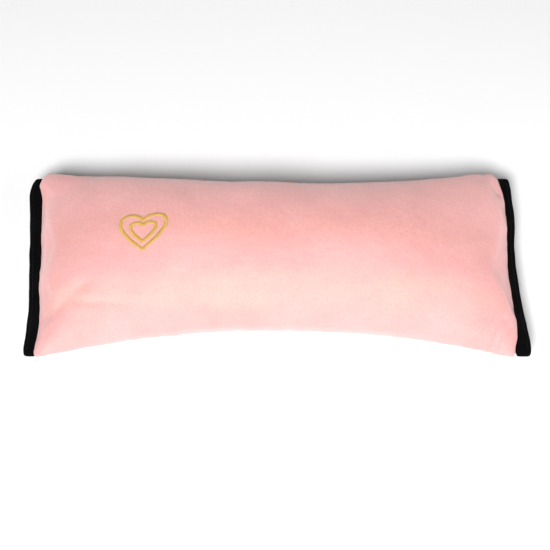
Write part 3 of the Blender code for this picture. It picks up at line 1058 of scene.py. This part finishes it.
def make_tape_stitches(thread):
    """The stitching that holds each tape shows on the tape and on the flap's other face."""
    hook = (HOOK_LOW, HOOK_HIGH)
    loop = (LOOP_LOW, LOOP_HIGH)
    on_hook = HOOK_LOW.z + TAPE_STITCH_HEIGHT
    on_loop = LOOP_HIGH.z - TAPE_STITCH_HEIGHT
    in_flap = INNER_FLAP_HIGH.z - CLOTH_STITCH_SINK
    rows = (
        ("hook_tape_stitches", "hook_tape_thread", hook, on_hook, 1, "rear_flap"),
        ("rear_flap_stitches", None, hook, CLOTH_STITCH_SINK, -1, "rear_flap"),
        ("loop_tape_stitches", "loop_tape_thread", loop, on_loop, -1, "front_flap"),
        ("front_flap_stitches", None, loop, in_flap, 1, "front_flap"),
    )
    for name, node, (low, high), z, up, body in rows:
        line = tape_rectangle(low, high, z)
        outward = Vector((0, 0, up))
        seam = skewed(stitches(name, line, lambda spot: outward, thread, closed=True))
        if node:
            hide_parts(node)
        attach(seam, body)


# ---------------------------------------------------------------- stage


LOOK_AT = Vector((0.001, 0.0, CROWN_Z / 4))
CAMERA_ELEVATION = math.radians(63.7)
CAMERA_DISTANCE = 0.887
CAMERA_LENS = 93.9
FLOOR_HALF_SIZE = 4.0
FLOOR_GLOW_START = 0.32
FLOOR_GLOW_FULL = 1.2
WORLD_LOW_GLOW = 1.0  # at the horizon
WORLD_HIGH_GLOW = 0.10  # from WORLD_HIGH_START, the sine of the height above the horizon, upwards
WORLD_HIGH_START = 0.28
# name, place, diameter, power
LIGHTS = (
    ("key", (-0.1235, -0.790, 1.227), 0.36, 25.6),
    ("front", (0.0, -1.40, 0.60), 0.8, 0.8),
    ("right_fill", (0.90, -0.60, 0.85), 0.9, 3.4),
)


def add_area_light(name, place, size, power):
    light = bpy.data.lights.new(name, "AREA")
    light.shape = "DISK"
    light.size = size
    light.energy = power
    obj = bpy.data.objects.new(name, light)
    obj.location = place
    obj.rotation_mode = "QUATERNION"
    obj.rotation_quaternion = (LOOK_AT - Vector(place)).to_track_quat("-Z", "Y")
    bpy.context.scene.collection.objects.link(obj)


def make_stage():
    bm = bmesh.new()
    bmesh.ops.create_grid(bm, x_segments=1, y_segments=1, size=FLOOR_HALF_SIZE)
    mesh = bpy.data.meshes.new("floor")
    bm.to_mesh(mesh)
    bm.free()
    white, tree, shader = new_material("white_floor", 0.9, 0.0, 0.5, (1, 1, 1), 0.0)
    where = object_place(tree)
    paper = mix_colours(tree, noise_of(tree, where, 3.0), (0.93, 0.93, 0.935), (0.95, 0.95, 0.95))
    tree.links.new(paper, shader.inputs["Base Color"])
    # The far floor glows a little, like a lit studio sweep, so that low views have a pale ground.
    away = add_node(tree, "ShaderNodeVectorMath", {"operation": "LENGTH"}, Vector=where).outputs["Value"]
    shader.inputs["Emission Color"].default_value = (1.0, 1.0, 1.0, 1.0)
    tree.links.new(spread(tree, away, FLOOR_GLOW_START, FLOOR_GLOW_FULL), shader.inputs["Emission Strength"])
    mesh.materials.append(white)
    floor = bpy.data.objects.new("floor", mesh)
    bpy.context.scene.collection.objects.link(floor)

    world = bpy.data.worlds.new("studio")
    world.use_nodes = True
    tree = world.node_tree
    background = tree.nodes["Background"]
    background.inputs["Color"].default_value = (1.0, 0.99, 0.985, 1.0)
    direction = tree.nodes.new("ShaderNodeTexCoord").outputs["Generated"]
    upward = add_node(tree, "ShaderNodeSeparateXYZ", Vector=direction)
    smooth = {"interpolation_type": "SMOOTHSTEP"}
    glow = add_node(tree, "ShaderNodeMapRange", smooth, Value=upward.outputs["Z"])
    glow.inputs["From Min"].default_value = 0.0
    glow.inputs["From Max"].default_value = WORLD_HIGH_START
    glow.inputs["To Min"].default_value = WORLD_LOW_GLOW
    glow.inputs["To Max"].default_value = WORLD_HIGH_GLOW
    tree.links.new(glow.outputs["Result"], background.inputs["Strength"])
    bpy.context.scene.world = world
    for name, place, size, power in LIGHTS:
        add_area_light(name, place, size, power)

    camera = bpy.data.cameras.new("camera")
    camera.lens = CAMERA_LENS
    camera.sensor_width = 36.0
    camera.clip_start = 0.05
    camera.clip_end = 20.0
    eye = bpy.data.objects.new("camera", camera)
    back = Vector((0.0, -math.cos(CAMERA_ELEVATION), math.sin(CAMERA_ELEVATION)))
    eye.location = LOOK_AT + back * CAMERA_DISTANCE
    eye.rotation_mode = "QUATERNION"
    eye.rotation_quaternion = (-back).to_track_quat("-Z", "Y")
    bpy.context.scene.collection.objects.link(eye)
    bpy.context.scene.camera = eye
    bpy.context.scene.view_settings.view_transform = "Standard"


def main():
    plush = plush_material()
    black = woven_material(
        "black_cloth", (0.005, 0.005, 0.006), (0.026, 0.026, 0.029), 0.0008, 0.58, 0.06, 0.22, 0.00020
    )
    binding = woven_material(
        "black_binding", (0.0010, 0.0010, 0.0012), (0.0060, 0.0060, 0.0066), 0.0006, 0.85, 0.0, 0.03, 0.00016
    )
    hook = woven_material(
        "hook_tape", (0.008, 0.008, 0.010), (0.028, 0.028, 0.032), 0.0009, 0.45, 0.0, 0.30, 0.00010
    )
    loop = woven_material(
        "loop_tape", (0.006, 0.006, 0.007), (0.020, 0.020, 0.022), 0.0009, 0.95, 0.4, 0.10, 0.00010
    )
    black_thread = thread_material(
        "black_thread", (0.003, 0.003, 0.003), (0.013, 0.013, 0.014), 0.6, 0.05, 0.1, 6000.0
    )
    gold = thread_material("gold_thread", (0.40, 0.21, 0.03), (0.88, 0.61, 0.12), 0.38, 0.3, 0.5, 4200.0)
    make_stage()
    body = make_body(plush)
    surface = BVHTree.FromObject(body, bpy.context.evaluated_depsgraph_get())
    make_satin_heart("heart", "embroidered_heart", surface, gold, 1)
    make_satin_heart("inner_heart", "embroidered_inner_heart", surface, gold, 2)
    make_back_cloth(black)
    make_seam_stitches(black_thread)
    make_end_hem("left_hem", -1, "left_end_trim", binding, black_thread)
    make_end_hem("right_hem", 1, "right_end_trim", binding, black_thread)
    make_sleeve_side("rear", REAR, black, binding)
    make_sleeve_side("front", FRONT, black, binding)
    make_hook_tape(hook)
    make_loop_tape(loop)
    make_tape_stitches(black_thread)


main()
